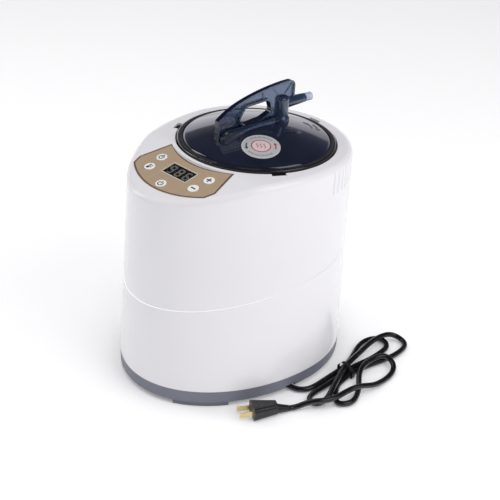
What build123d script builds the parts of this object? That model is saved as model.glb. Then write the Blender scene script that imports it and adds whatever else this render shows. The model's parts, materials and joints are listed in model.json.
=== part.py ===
"""Portable sauna steam generator: a pot with a bayonet lid, a steam outlet in the lid handle and a
sloping key panel, standing on four feet with its power cord lying beside it.

Frame: millimetres, +Z up, origin on the floor at the middle of the base footprint.
The key panel faces -Y and +X is to the right when looking at the panel.
"""
import os
from math import cos, radians, sin, tan

from build123d import *

os.makedirs("parts", exist_ok=True)

# ---------------------------------------------------------------- driving dimensions
# Housing: an egg in plan, blunt end to the rear, leaning in towards the top
seam_z = 22.0                # white shell meets the grey base pan
deck_z = 280.5               # flat top around the lid
wall = 3.0
deck_edge_round = 8.0
foot_height = 5.5

# outlines as (half width, y of the widest point, front reach, rear reach)
seam_outline = (126.5, 21.0, -151.0, 152.0)
deck_outline = (115.5, 31.0, -147.5, 146.0)
lower_outline = (126.8, 21.0, -152.0, 151.0)
front_fullness_seam = 0.545  # handle length of the corner curves; 0.552 is an ellipse
front_fullness_deck = 0.490
rear_fullness = 0.552

ledge_height = 148.5         # height of the step in the front wall, at y = 0
ledge_slope = 0.14           # the step rises towards the rear

# Sloping control deck
slope_angle = 11.7
slope_start_y = -55.0
slope_blend = 60.0

# Lid and its opening
lid_y = 31.0
lid_radius = 95.0
lid_top_z = 283.0
lid_gap = 1.5
lug_reach = 101.0
lug_width = 14.0
lug_bottom_z = 272.5
lug_top_z = 276.5
lug_angles = (-31.0, 88.0, 208.0)
lock_turn = 18.0             # clockwise turn that carries the lugs under the deck lip
dome_top_z = 299.0
dome_sphere = 260.0
dome_skin = 2.5
dome_edge_radius = 88.0

# Handle and steam outlet; they stand in one upright plane through the lid axis
handle_turn = 5.3            # clockwise from +Y
outlet_s = 35.5              # distance of the steam column behind the lid axis
outlet_radius = 9.5
outlet_top_z = 328.0
nozzle_z = 318.0
nozzle_root_radius = 7.5
nozzle_end_radius = 5.6
nozzle_end_s = 72.0
tip_radius = 5.2
tip_round = 1.5
tip_end_s = 84.0
steam_bore = 3.5

# Pot and heater
pot_radius = 80.0
pot_skin = 1.2
pot_floor_z = 92.0
pot_rim_z = 269.0
pot_rim_radius = 91.0

# Key panel, in the plane of the slope: x across, y up the slope from the slope's upper end
panel_thickness = 1.2
panel_recess = 1.0
key_radius = 6.5
key_gap = 0.35
key_travel = 0.8
key_places = {
    "key_timer": (-39.5, -28.8),
    "key_temperature": (-36.4, -50.0),
    "key_power": (0.0, -65.2),
    "key_minus": (36.4, -50.0),
    "key_plus": (39.5, -28.8),
}
display_centre = (0.5, -37.6)
display_size = (38.0, 18.6)

# Power cord
cord_radius = 3.5
cord_inlet = (98.0, -14.0)   # where the cord rises through the base pan

lid_centre = (0.0, lid_y)
lid_axis = Axis((0, lid_y, 0), (0, 0, 1))
lid_section = Plane(origin=(0, lid_y, 0), x_dir=(1, 0, 0), z_dir=(0, -1, 0))
panel_plane = Plane(
    origin=(0, slope_start_y, deck_z),
    x_dir=(1, 0, 0),
    z_dir=(0, -sin(radians(slope_angle)), cos(radians(slope_angle))),
)
handle_dir = Vector(sin(radians(handle_turn)), cos(radians(handle_turn)), 0)
handle_plane = Plane(
    origin=(0, lid_y, 0),
    x_dir=handle_dir,
    z_dir=(handle_dir.Y, -handle_dir.X, 0),
)


# ---------------------------------------------------------------- shared shapes
def export(builder, name):
    """Label a finished piece and write it under its own name."""
    builder.part.label = name
    export_step(builder.part, f"parts/{name}.step")


def outline_at(z, inset=0.0):
    """Housing outline at height z, between the seam outline and the deck outline."""
    share = (z - seam_z) / (deck_z - seam_z)
    half, mid, front, rear = (a + (b - a) * share for a, b in zip(seam_outline, deck_outline))
    fullness = front_fullness_seam + (front_fullness_deck - front_fullness_seam) * share
    return (half - inset, mid, front + inset, rear - inset, fullness)


def egg_face(half, mid, front, rear, fullness):
    """Face of an egg made of four quarter curves."""
    depth = mid - front
    length = rear - mid
    with BuildLine() as outline:
        for side in (1, -1):
            Bezier(
                (0, front),
                (side * half * fullness, front),
                (side * half, mid - depth * fullness),
                (side * half, mid),
            )
            Bezier(
                (side * half, mid),
                (side * half, mid + length * rear_fullness),
                (side * half * rear_fullness, rear),
                (0, rear),
            )
    make_face(outline.edges())


def egg_point(angle, inset):
    """Point near the seam outline, at an angle seen from its widest line."""
    half, mid, front, rear = seam_outline
    reach = (rear - mid) if sin(radians(angle)) > 0 else (mid - front)
    return ((half - inset) * cos(radians(angle)), mid + (reach - inset) * sin(radians(angle)))


def above_deck(drop):
    """Face of everything above the deck, in the YZ plane, with the deck surface lowered by drop."""
    far = 260.0
    break_y = slope_start_y + drop * tan(radians(slope_angle / 2))
    level = deck_z - drop
    low = level - (far + break_y) * tan(radians(slope_angle))
    with BuildLine() as outline:
        FilletPolyline((far, level), (break_y, level), (-far, low), radius=slope_blend - drop)
        Polyline((-far, low), (-far, deck_z + far), (far, deck_z + far), (far, level))
    make_face(outline.edges())


def panel_outline(inset=0.0):
    """Face of the key panel: concave towards the lid, splayed sides, convex front."""
    inner = (52.0 - inset, -2.4 - inset)
    splay = (63.0 - inset, -42.5)
    corner = (59.0 - inset, -55.0 + inset / 2)
    with BuildLine() as outline:
        ThreePointArc((-inner[0], inner[1]), (0, -16.3 - inset), inner)
        Polyline(inner, splay, corner)
        ThreePointArc(corner, (0, -75.9 + inset), (-corner[0], corner[1]))
        Polyline((-corner[0], corner[1]), (-splay[0], splay[1]), (-inner[0], inner[1]))
    make_face(outline.edges())


def polar_point(radius, angle, z):
    """Point at a radius and angle about the lid axis."""
    return (radius * cos(radians(angle)), lid_y + radius * sin(radians(angle)), z)


def along_handle(s, z, side=0.0):
    """Point in the handle plane, s behind the lid axis; side moves it towards +X."""
    return (
        handle_dir.X * s + handle_dir.Y * side,
        lid_y + handle_dir.Y * s - handle_dir.X * side,
        z,
    )


# ---------------------------------------------------------------- outer_shell
cavity_wall_top = 300.0
screw_clearance = 0.05       # radial gap between a screw and the hole it sits in
base_screw_angles = (40, 90, 140, 215, 270, 325)
base_screw_inset = 9.5
base_screw_radius = 2.0
base_post_radius = 5.0
base_post_top = 28.0
shell_boss_top = 62.0
collar_screw_angles = (20, 70, 110, 160, 230, 310)
collar_screw_ring = 106.0
collar_screw_radius = 1.5
collar_boss_radius = 4.0
board_screw_places = ((-46.0, -39.5), (46.0, -39.5), (-18.0, -62.0), (18.0, -62.0))
board_screw_radius = 1.25
board_boss_radius = 3.5
board_depth = 10.0           # top face of the control board below the panel plane
opening_radius = lid_radius + lid_gap
lip_radius = 101.2
lip_round = 1.2
notch_width = lug_width + 3.0
notch_reach = lug_reach + 1.5
flute_count = 10
flute_first_angle = 5.0
flute_step = 4.6
flute_radius = 2.7
flute_depth = 1.3
flute_low_z = 250.0
lower_top_z = 180.0

base_screw_points = [egg_point(angle, base_screw_inset) for angle in base_screw_angles]


def flute_point(angle, z):
    """Centre of a finger flute on the rear half of the wall."""
    half, mid, _, rear, _ = outline_at(z, flute_depth - flute_radius)
    return (half * cos(radians(angle)), mid + (rear - mid) * sin(radians(angle)))


def top_edge(part):
    """The edge where the wall meets the deck."""
    upper = part.edges().filter_by(lambda e: e.center().Z > deck_z - 32)
    return [e for e in upper if e.length > 60]


with BuildPart() as shell_cavity:
    with BuildSketch(Plane.XY.offset(seam_z)):
        egg_face(*outline_at(seam_z, wall))
    with BuildSketch(Plane.XY.offset(cavity_wall_top)):
        egg_face(*outline_at(cavity_wall_top, wall))
    loft(ruled=True)
    with BuildSketch(Plane.YZ):
        above_deck(wall)
    extrude(amount=200, both=True, mode=Mode.SUBTRACT)
    fillet(top_edge(shell_cavity), radius=deck_edge_round - wall)

with BuildPart() as flutes:
    for index in range(flute_count):
        angle = flute_first_angle + index * flute_step
        low = flute_point(angle, flute_low_z)
        high = flute_point(angle, cavity_wall_top)
        with BuildSketch(Plane.XY.offset(flute_low_z)):
            with Locations(low):
                Circle(flute_radius)
        with BuildSketch(Plane.XY.offset(cavity_wall_top)):
            with Locations(high):
                Circle(flute_radius)
        loft(ruled=True)
        with Locations((*low, flute_low_z)):
            Sphere(flute_radius)
    mirror(about=Plane.YZ)

with BuildPart() as outer_shell:
    # the lower front stands one millimetre proud of the wall above the step
    lean = (lower_top_z - seam_z) / (deck_z - seam_z)
    lower_top = [a + (b - c) * lean for a, b, c in zip(lower_outline, deck_outline, seam_outline)]
    with BuildSketch(Plane.XY.offset(seam_z)):
        egg_face(*lower_outline, front_fullness_seam)
    with BuildSketch(Plane.XY.offset(lower_top_z)):
        egg_face(*lower_top, outline_at(lower_top_z)[4])
    loft(ruled=True)
    split(
        bisect_by=Plane(origin=(0, 0, ledge_height), x_dir=(1, 0, 0), z_dir=(0, -ledge_slope, 1)),
        keep=Keep.BOTTOM,
    )
    # main wall
    with BuildSketch(Plane.XY.offset(seam_z)):
        egg_face(*outline_at(seam_z))
    with BuildSketch(Plane.XY.offset(cavity_wall_top)):
        egg_face(*outline_at(cavity_wall_top))
    loft(ruled=True)
    with BuildSketch(Plane.YZ):
        above_deck(0)
    extrude(amount=200, both=True, mode=Mode.SUBTRACT)
    fillet(top_edge(outer_shell), radius=deck_edge_round)
    # level lip around the lid, standing above the slope at the front
    with BuildSketch(lid_section):
        with BuildLine() as outline:
            Polyline(
                (lip_radius, deck_z - lip_round),
                (lip_radius, deck_z - 2 * wall),
                (0, deck_z - 2 * wall),
                (0, deck_z),
                (lip_radius - lip_round, deck_z),
            )
            RadiusArc((lip_radius - lip_round, deck_z), (lip_radius, deck_z - lip_round), lip_round)
        make_face()
    revolve(axis=lid_axis)
    add(shell_cavity.part, mode=Mode.SUBTRACT)
    add(flutes.part, mode=Mode.SUBTRACT)
    # lid opening with a rounded lip, then the three lug notches
    with BuildSketch(lid_section):
        with BuildLine():
            Polyline(
                (opening_radius, deck_z - lip_round),
                (opening_radius, deck_z - 2 * wall),
                (0, deck_z - 2 * wall),
                (0, deck_z + wall),
                (opening_radius + lip_round, deck_z + wall),
                (opening_radius + lip_round, deck_z),
            )
            RadiusArc(
                (opening_radius + lip_round, deck_z),
                (opening_radius, deck_z - lip_round),
                -lip_round,
            )
        make_face()
    revolve(axis=lid_axis, mode=Mode.SUBTRACT)
    with BuildSketch(Plane.XY.offset(deck_z)):
        for angle in lug_angles:
            x, y, _ = polar_point(notch_reach - 10, angle, 0)
            with Locations(Location((x, y, 0), (0, 0, angle))):
                Rectangle(20, notch_width)
    extrude(amount=-wall, mode=Mode.SUBTRACT)
    # bosses for the pot collar hang from the deck
    with BuildSketch(Plane.XY.offset(pot_rim_z)):
        for angle in collar_screw_angles:
            with Locations(polar_point(collar_screw_ring, angle, 0)):
                Circle(collar_boss_radius)
    extrude(until=Until.NEXT)
    with BuildSketch(Plane.XY.offset(pot_rim_z)):
        for angle in collar_screw_angles:
            with Locations(polar_point(collar_screw_ring, angle, 0)):
                Circle(collar_screw_radius + screw_clearance)
    extrude(amount=7, mode=Mode.SUBTRACT)
    # bosses for the base screws stand against the wall
    with BuildSketch(Plane.XY.offset(base_post_top)):
        with Locations(base_screw_points):
            Circle(base_post_radius + 1)
    extrude(amount=shell_boss_top - base_post_top)
    with BuildSketch(Plane.XY.offset(base_post_top)):
        with Locations(base_screw_points):
            Circle(base_screw_radius + screw_clearance)
    extrude(amount=20, mode=Mode.SUBTRACT)
    # seat of the key panel, its key holes and the display opening
    with BuildSketch(panel_plane.offset(-panel_recess)):
        panel_outline(-0.2)
    extrude(amount=5, mode=Mode.SUBTRACT)
    with BuildSketch(panel_plane.offset(-board_depth)):
        with Locations(board_screw_places):
            Circle(board_boss_radius)
    extrude(until=Until.NEXT)
    with BuildSketch(panel_plane.offset(-board_depth)):
        with Locations(board_screw_places):
            Circle(board_screw_radius + screw_clearance)
    extrude(amount=6, mode=Mode.SUBTRACT)
    with BuildSketch(panel_plane):
        with Locations(display_centre):
            Rectangle(display_size[0] + 1, display_size[1] + 1)
        with Locations(*key_places.values()):
            Circle(key_radius + key_gap)
    extrude(amount=-2 * wall, mode=Mode.SUBTRACT)
export(outer_shell, "outer_shell")

# ---------------------------------------------------------------- base_pan, feet, base_screws
pan_floor = 3.0
pan_lip_gap = 0.3
pan_lip_thickness = 2.0
pan_lip_top = 27.0
screw_head_radius = 3.8
screw_head_height = 2.6
counterbore_depth = 3.6
trough_half_width = 7.5
trough_roof_z = 18.0
trough_inner_x = 91.0
trough_step_x = 112.0
trough_outer_x = 140.0
channel_roof_z = 9.6
trough_skin = 2.5
grommet_hole_radius = 5.3
board_post_radius = 4.0
board_post_top = 19.0
power_board_centre = (0.0, -97.0)
power_board_size = (92.0, 62.0)
power_board_inset = 4.5
shield_post_radius = 4.0
shield_z = 58.0
shield_post_places = [polar_point(58.0, angle, 0)[:2] for angle in (30, 150, 270)]
power_board_places = [
    (power_board_centre[0] + sx * (power_board_size[0] / 2 - power_board_inset),
     power_board_centre[1] + sy * (power_board_size[1] / 2 - power_board_inset))
    for sx in (-1, 1)
    for sy in (-1, 1)
]
foot_places = ((75.0, -118.0, 50.0), (-75.0, -118.0, -50.0), (82.0, 120.0, -50.0), (-82.0, 120.0, 50.0))
foot_length = 66.0
foot_depth = 22.0
foot_sole = 0.8
pan_outline = (126.5, 21.0, -152.0, 152.0, front_fullness_seam)


def pan_inset(inset):
    """Base pan outline moved inwards."""
    half, mid, front, rear, fullness = pan_outline
    return (half - inset, mid, front + inset, rear - inset, fullness)


with BuildPart() as base_pan:
    with BuildSketch(Plane.XY.offset(foot_height)):
        egg_face(*pan_inset(1.2))
    with BuildSketch(Plane.XY.offset(foot_height + 2)):
        egg_face(*pan_inset(0))
    loft(ruled=True)
    with BuildSketch(Plane.XY.offset(foot_height + 2)):
        egg_face(*pan_inset(0))
    extrude(amount=seam_z - foot_height - 2)
    with BuildSketch(Plane.XY.offset(foot_height + pan_floor)):
        egg_face(*pan_inset(wall + pan_lip_gap + pan_lip_thickness))
    extrude(amount=seam_z, mode=Mode.SUBTRACT)
    # upstand that enters the shell
    with BuildSketch(Plane.XY.offset(foot_height + pan_floor)):
        egg_face(*outline_at(seam_z, wall + pan_lip_gap + 0.3))
        with BuildSketch(mode=Mode.SUBTRACT):
            egg_face(*outline_at(seam_z, wall + pan_lip_gap + pan_lip_thickness + 0.3))
    extrude(amount=pan_lip_top - foot_height - pan_floor)
    # posts for the base screws, the power board and the heat shield
    with BuildSketch(Plane.XY.offset(foot_height)):
        with Locations(base_screw_points):
            Circle(base_post_radius)
    extrude(amount=base_post_top - foot_height)
    with BuildSketch(Plane.XY.offset(foot_height + 1)):
        with Locations(power_board_places):
            Circle(board_post_radius)
    extrude(amount=board_post_top - foot_height - 1)
    with BuildSketch(Plane.XY.offset(foot_height + 1)):
        with Locations(shield_post_places):
            Circle(shield_post_radius)
    extrude(amount=shield_z - foot_height - 1)
    # trough under the floor that leads the cord out at the right: a high pocket, then a low channel
    with BuildSketch(Plane.XY.offset(foot_height + pan_floor - 1)):
        with Locations(((trough_inner_x + trough_step_x) / 2, cord_inlet[1])):
            Rectangle(
                trough_step_x - trough_inner_x + 2 * trough_skin,
                2 * (trough_half_width + trough_skin),
            )
    extrude(amount=trough_roof_z + trough_skin - foot_height - pan_floor + 1)
    with BuildSketch(Plane.XY.offset(foot_height + pan_floor - 1)):
        egg_face(*pan_inset(1))
        with Locations(((trough_step_x + trough_outer_x) / 2, cord_inlet[1])):
            Rectangle(
                trough_outer_x - trough_step_x,
                2 * (trough_half_width + trough_skin),
                mode=Mode.INTERSECT,
            )
    extrude(amount=channel_roof_z + trough_skin - foot_height - pan_floor + 1)
    for first_x, last_x, roof_z in (
        (trough_inner_x, trough_step_x, trough_roof_z),
        (trough_step_x - trough_skin, trough_outer_x, channel_roof_z),
    ):
        with BuildSketch(Plane.XY):
            with Locations(((first_x + last_x) / 2, cord_inlet[1])):
                Rectangle(last_x - first_x, 2 * trough_half_width)
        extrude(amount=roof_z, mode=Mode.SUBTRACT)
    # holes
    with BuildSketch(Plane.XY):
        with Locations(base_screw_points):
            Circle(base_screw_radius + 2 * screw_clearance)
        with Locations(cord_inlet):
            Circle(grommet_hole_radius)
    extrude(amount=2 * base_post_top, mode=Mode.SUBTRACT)
    with BuildSketch(Plane.XY.offset(foot_height)):
        with Locations(base_screw_points):
            Circle(screw_head_radius + 0.4)
    extrude(amount=counterbore_depth, mode=Mode.SUBTRACT)
    with BuildSketch(Plane.XY.offset(board_post_top)):
        with Locations(power_board_places):
            Circle(board_screw_radius + screw_clearance)
    extrude(amount=-8, mode=Mode.SUBTRACT)
    with BuildSketch(Plane.XY.offset(shield_z)):
        with Locations(shield_post_places):
            Circle(board_screw_radius + screw_clearance)
    extrude(amount=-12, mode=Mode.SUBTRACT)
export(base_pan, "base_pan")

with BuildPart() as feet:
    for inset, bottom, top in ((0, foot_sole, foot_height), (foot_sole, 0, foot_sole)):
        with BuildSketch(Plane.XY.offset(bottom)):
            egg_face(*pan_inset(1.2 + inset))
            with BuildSketch(mode=Mode.SUBTRACT):
                egg_face(*pan_inset(foot_depth - inset))
            with BuildSketch(mode=Mode.INTERSECT):
                for x, y, turn in foot_places:
                    with Locations(Location((x, y, 0), (0, 0, turn))):
                        Rectangle(foot_length - 2 * inset, 3 * foot_depth)
        extrude(amount=top - bottom)
export(feet, "feet")


def screw(points, seat_plane, shank_radius, length, head_radius, head_height):
    """Cross-recess pan-head screws: the shank runs along the plane's normal, the head sits behind it."""
    with BuildSketch(seat_plane) as shank:
        with Locations(*points):
            Circle(shank_radius)
    extrude(shank.sketch, amount=length)
    with BuildSketch(seat_plane) as head:
        with Locations(*points):
            Circle(head_radius)
    extrude(head.sketch, amount=-head_height)
    with BuildSketch(seat_plane.offset(-head_height)) as recess:
        with Locations(*points):
            Rectangle(head_radius * 1.1, head_radius * 0.28)
            Rectangle(head_radius * 0.28, head_radius * 1.1)
    extrude(recess.sketch, amount=head_height * 0.5, mode=Mode.SUBTRACT)


with BuildPart() as base_screws:
    screw(
        base_screw_points,
        Plane.XY.offset(foot_height + counterbore_depth),
        base_screw_radius,
        base_post_top + 18 - foot_height - counterbore_depth,
        screw_head_radius,
        screw_head_height,
    )
export(base_screws, "base_screws")

# ---------------------------------------------------------------- pot_collar, collar_screws
collar_inner_radius = 82.5
collar_outer_radius = 103.5
collar_bottom_z = 263.0
rim_seat_z = 267.0
ear_radius = 5.0
stop_clearance_angle = 3.0
stop_width = 3.0
lug_half_angle = 4.2

with BuildPart() as pot_collar:
    with BuildSketch(lid_section):
        with BuildLine():
            Polyline(
                (collar_inner_radius, collar_bottom_z),
                (collar_outer_radius, collar_bottom_z),
                (collar_outer_radius, pot_rim_z),
                (pot_rim_radius + 0.3, pot_rim_z),
                (pot_rim_radius + 0.3, rim_seat_z),
                (collar_inner_radius, rim_seat_z),
                close=True,
            )
        make_face()
    revolve(axis=lid_axis)
    with BuildSketch(Plane.XY.offset(collar_bottom_z)):
        for angle in collar_screw_angles:
            with Locations(polar_point(collar_screw_ring - 1, angle, 0)):
                Circle(ear_radius)
    extrude(amount=pot_rim_z - collar_bottom_z)
    with BuildSketch(Plane.XY.offset(collar_bottom_z)):
        for angle in collar_screw_angles:
            with Locations(polar_point(collar_screw_ring, angle, 0)):
                Circle(collar_screw_radius + 2 * screw_clearance)
    extrude(amount=pot_rim_z - collar_bottom_z, mode=Mode.SUBTRACT)
    # stops for the locked lugs
    with BuildSketch(Plane.XY.offset(pot_rim_z)):
        for angle in lug_angles:
            stop_angle = angle - lock_turn - lug_half_angle - stop_clearance_angle
            x, y, _ = polar_point((opening_radius + notch_reach) / 2, stop_angle, 0)
            with Locations(Location((x, y, 0), (0, 0, stop_angle))):
                Rectangle(notch_reach - opening_radius - 1, stop_width)
    extrude(amount=lug_top_z - pot_rim_z)
export(pot_collar, "pot_collar")

with BuildPart() as collar_screws:
    screw(
        [polar_point(collar_screw_ring, angle, 0)[:2] for angle in collar_screw_angles],
        Plane.XY.offset(collar_bottom_z),
        collar_screw_radius,
        pot_rim_z - collar_bottom_z + 6,
        3.0,
        2.0,
    )
export(collar_screws, "collar_screws")

# ---------------------------------------------------------------- water_pot and heater
pot_corner = 12.0
stud_ring = 30.0
stud_radius = 2.0
plate_radius = 62.0
plate_thickness = 10.0
element_ring = 45.0
element_radius = 4.0
element_gap_angle = 40.0
element_tail = 14.0
plate_bottom_z = pot_floor_z - plate_thickness
stud_angles = (90, 210, 330)
stud_points = [polar_point(stud_ring, angle, 0)[:2] for angle in stud_angles]

pot_outer_radius = pot_radius + pot_skin

with BuildPart() as water_pot:
    with BuildSketch(lid_section):
        with BuildLine():
            Line((0, pot_floor_z), (pot_outer_radius - pot_corner, pot_floor_z))
            RadiusArc(
                (pot_outer_radius - pot_corner, pot_floor_z),
                (pot_outer_radius, pot_floor_z + pot_corner),
                -pot_corner,
            )
            Polyline(
                (pot_outer_radius, pot_floor_z + pot_corner),
                (pot_outer_radius, rim_seat_z),
                (pot_rim_radius, rim_seat_z),
                (pot_rim_radius, pot_rim_z),
                (pot_radius, pot_rim_z),
                (pot_radius, pot_floor_z + pot_corner),
            )
            RadiusArc(
                (pot_radius, pot_floor_z + pot_corner),
                (pot_outer_radius - pot_corner, pot_floor_z + pot_skin),
                pot_corner - pot_skin,
            )
            Polyline(
                (pot_outer_radius - pot_corner, pot_floor_z + pot_skin),
                (0, pot_floor_z + pot_skin),
                (0, pot_floor_z),
            )
        make_face()
    revolve(axis=lid_axis)
    with BuildSketch(Plane.XY.offset(pot_floor_z)):
        with Locations(stud_points):
            Circle(stud_radius)
    extrude(amount=-plate_thickness - 6)
export(water_pot, "water_pot")

with BuildPart() as heater_plate:
    with BuildSketch(Plane.XY.offset(plate_bottom_z)):
        with Locations(lid_centre):
            Circle(plate_radius)
        with Locations(stud_points):
            Circle(stud_radius + 0.3, mode=Mode.SUBTRACT)
    extrude(amount=plate_thickness)
    with BuildSketch(lid_section):
        with Locations((element_ring, plate_bottom_z)):
            Circle(element_radius + 0.05)
    revolve(axis=lid_axis, mode=Mode.SUBTRACT)
export(heater_plate, "heater_plate")

with BuildPart() as heating_element:
    half_gap = element_gap_angle / 2
    start = polar_point(element_ring, 270 + half_gap, plate_bottom_z)
    end = polar_point(element_ring, 270 - half_gap, plate_bottom_z)
    middle = polar_point(element_ring, 90, plate_bottom_z)
    with BuildLine() as element_path:
        ThreePointArc(start, middle, end)
    with BuildSketch(Plane(origin=element_path.line @ 0, z_dir=element_path.line % 0)):
        Circle(element_radius)
    sweep()
    with BuildSketch(Plane.XY.offset(plate_bottom_z)):
        with Locations(start[:2], end[:2]):
            Circle(element_radius)
    extrude(amount=-element_tail)
    with BuildSketch(Plane.XY.offset(plate_bottom_z - element_tail)):
        with Locations(start[:2], end[:2]):
            Rectangle(6, 0.8)
    extrude(amount=-6)
export(heating_element, "heating_element")

with BuildPart() as heater_nuts:
    with BuildSketch(Plane.XY.offset(plate_bottom_z)):
        with Locations(stud_points):
            RegularPolygon(3.8, 6)
            Circle(stud_radius + screw_clearance, mode=Mode.SUBTRACT)
    extrude(amount=-3.2)
export(heater_nuts, "heater_nuts")

with BuildPart() as dry_boil_thermostat:
    with BuildSketch(Plane.XY.offset(plate_bottom_z)):
        with Locations(lid_centre):
            Circle(9)
    extrude(amount=-4)
    with BuildSketch(Plane.XY.offset(plate_bottom_z - 4)):
        with Locations(lid_centre):
            Circle(7.5)
    extrude(amount=-8)
    with BuildSketch(Plane.XY.offset(plate_bottom_z - 12)):
        with Locations((-5, lid_y), (5, lid_y)):
            Rectangle(0.8, 6.3)
    extrude(amount=-7)
export(dry_boil_thermostat, "dry_boil_thermostat")

fuse_place = (-26.0, lid_y + 4.0)
with BuildPart() as thermal_fuse:
    fuse_plane = Plane(origin=(*fuse_place, plate_bottom_z - 2.6), x_dir=(0, 1, 0), z_dir=(1, 0, 0))
    with BuildSketch(fuse_plane.offset(-6)):
        Circle(2.5)
    extrude(amount=12)
    with BuildSketch(fuse_plane.offset(-14)):
        Circle(0.6)
    extrude(amount=28)
export(thermal_fuse, "thermal_fuse")

sensor_place = (22.0, lid_y + 26.0)
with BuildPart() as temperature_sensor:
    with BuildSketch(Plane.XY.offset(plate_bottom_z)):
        with Locations(sensor_place):
            Circle(5)
    extrude(amount=-2)
    with BuildSketch(Plane.XY.offset(plate_bottom_z - 2)):
        with Locations(sensor_place):
            Circle(3)
    extrude(amount=-12)
export(temperature_sensor, "temperature_sensor")

# ---------------------------------------------------------------- heat_shield
shield_radius = 72.0
shield_rim = 8.0
shield_sheet = 0.8

with BuildPart() as heat_shield:
    with BuildSketch(Plane.XY.offset(shield_z)):
        with Locations(lid_centre):
            Circle(shield_radius)
        with Locations(shield_post_places):
            Circle(board_screw_radius + 0.4, mode=Mode.SUBTRACT)
    extrude(amount=shield_sheet)
    with BuildSketch(Plane.XY.offset(shield_z)):
        with Locations(lid_centre):
            Circle(shield_radius)
            Circle(shield_radius - shield_sheet, mode=Mode.SUBTRACT)
    extrude(amount=shield_rim)
export(heat_shield, "heat_shield")


def facing_down(z):
    """Horizontal plane looking down; its y runs against the part's y."""
    return Plane(origin=(0, 0, z), x_dir=(1, 0, 0), z_dir=(0, 0, -1))


def flipped(points):
    """Places on a plane that faces down."""
    return [(x, -y) for x, y in points]


with BuildPart() as shield_screws:
    screw(
        flipped(shield_post_places),
        facing_down(shield_z + shield_sheet),
        board_screw_radius,
        10,
        2.6,
        1.8,
    )
export(shield_screws, "shield_screws")

# ---------------------------------------------------------------- power board and its parts
board_thickness = 1.6
power_board_top = board_post_top + board_thickness
relay_place = (24.0, -80.0)
transformer_place = (-24.0, -84.0)
terminal_place = (22.0, -114.0)
capacitor_place = (-4.0, -118.0)
triac_place = (-32.0, -114.0)

with BuildPart() as power_board:
    with BuildSketch(Plane.XY.offset(board_post_top)):
        with Locations(power_board_centre):
            RectangleRounded(*power_board_size, 2.0)
        with Locations(power_board_places):
            Circle(board_screw_radius + 0.2, mode=Mode.SUBTRACT)
    extrude(amount=board_thickness)
export(power_board, "power_board")

with BuildPart() as power_board_screws:
    screw(flipped(power_board_places), facing_down(power_board_top), board_screw_radius, 8, 2.6, 1.8)
export(power_board_screws, "power_board_screws")

with BuildPart() as relay:
    with BuildSketch(Plane.XY.offset(power_board_top)):
        with Locations(relay_place):
            Rectangle(29, 12.5)
    extrude(amount=15.5)
    fillet(relay.edges().filter_by(Axis.Z), radius=1)
export(relay, "relay")

with BuildPart() as transformer:
    with BuildSketch(Plane.XY.offset(power_board_top)):
        with Locations(transformer_place):
            Rectangle(32, 22)
    extrude(amount=26)
    with BuildSketch(Plane.XY.offset(power_board_top + 4)):
        with Locations(transformer_place):
            Rectangle(20, 30)
    extrude(amount=18)
    fillet(transformer.edges().filter_by(Axis.Z), radius=1)
export(transformer, "transformer")

with BuildPart() as filter_capacitor:
    with BuildSketch(Plane.XY.offset(power_board_top)):
        with Locations(capacitor_place):
            Circle(6)
    extrude(amount=20)
    fillet(filter_capacitor.edges().sort_by(Axis.Z)[-1], radius=1)
export(filter_capacitor, "filter_capacitor")

with BuildPart() as terminal_block:
    with BuildSketch(Plane.XY.offset(power_board_top)):
        with Locations(terminal_place):
            Rectangle(30, 11)
    extrude(amount=12)
    with BuildSketch(Plane.XY.offset(power_board_top + 12)):
        with Locations(terminal_place):
            with GridLocations(7, 1, 4, 1):
                Circle(2.4)
    extrude(amount=-3, mode=Mode.SUBTRACT)
export(terminal_block, "terminal_block")

with BuildPart() as heat_sink:
    with BuildSketch(Plane.XY.offset(power_board_top)):
        with Locations(triac_place):
            Rectangle(22, 3)
        with Locations((triac_place[0], triac_place[1] + 5)):
            with GridLocations(5, 1, 5, 1):
                Rectangle(1.4, 9)
    extrude(amount=24)
export(heat_sink, "heat_sink")

# ---------------------------------------------------------------- control board under the panel
control_board_size = (104.0, 44.0)
control_board_centre = (0.0, -46.5)
control_board_top = -board_depth
switch_size = 6.0
switch_height = 3.4
key_flange_radius = 8.0
key_flange_top = -4.0
key_flange_thickness = 1.0
key_proud = 0.7
plunger_radius = 1.7
window_bottom = -panel_recess
module_top = -1.3
digit_top = -panel_recess - 0.05
digit_height = 12.5
digit_pitch = 12.6
bar_width = 1.9
bar_gap = 0.35

with BuildPart() as control_board:
    with BuildSketch(panel_plane.offset(control_board_top)):
        with Locations(control_board_centre):
            RectangleRounded(*control_board_size, 12.0)
        with Locations(board_screw_places):
            Circle(board_screw_radius + 0.2, mode=Mode.SUBTRACT)
    extrude(amount=-board_thickness)
export(control_board, "control_board")

with BuildPart() as control_board_screws:
    screw(
        board_screw_places,
        panel_plane.offset(control_board_top - board_thickness),
        board_screw_radius,
        board_thickness + 5.5,
        2.6,
        1.8,
    )
export(control_board_screws, "control_board_screws")

with BuildPart() as key_switches:
    with BuildSketch(panel_plane.offset(control_board_top)):
        with Locations(*key_places.values()):
            Rectangle(switch_size, switch_size)
    extrude(amount=switch_height)
    with BuildSketch(panel_plane.offset(control_board_top + switch_height)):
        with Locations(*key_places.values()):
            Circle(plunger_radius)
    plunger_top = key_flange_top - key_flange_thickness - key_travel - 0.1
    extrude(amount=plunger_top - control_board_top - switch_height)
export(key_switches, "key_switches")

with BuildPart() as display_module:
    with BuildSketch(panel_plane.offset(control_board_top)):
        with Locations(display_centre):
            Rectangle(*display_size)
    extrude(amount=module_top - control_board_top)
export(display_module, "display_module")


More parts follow.
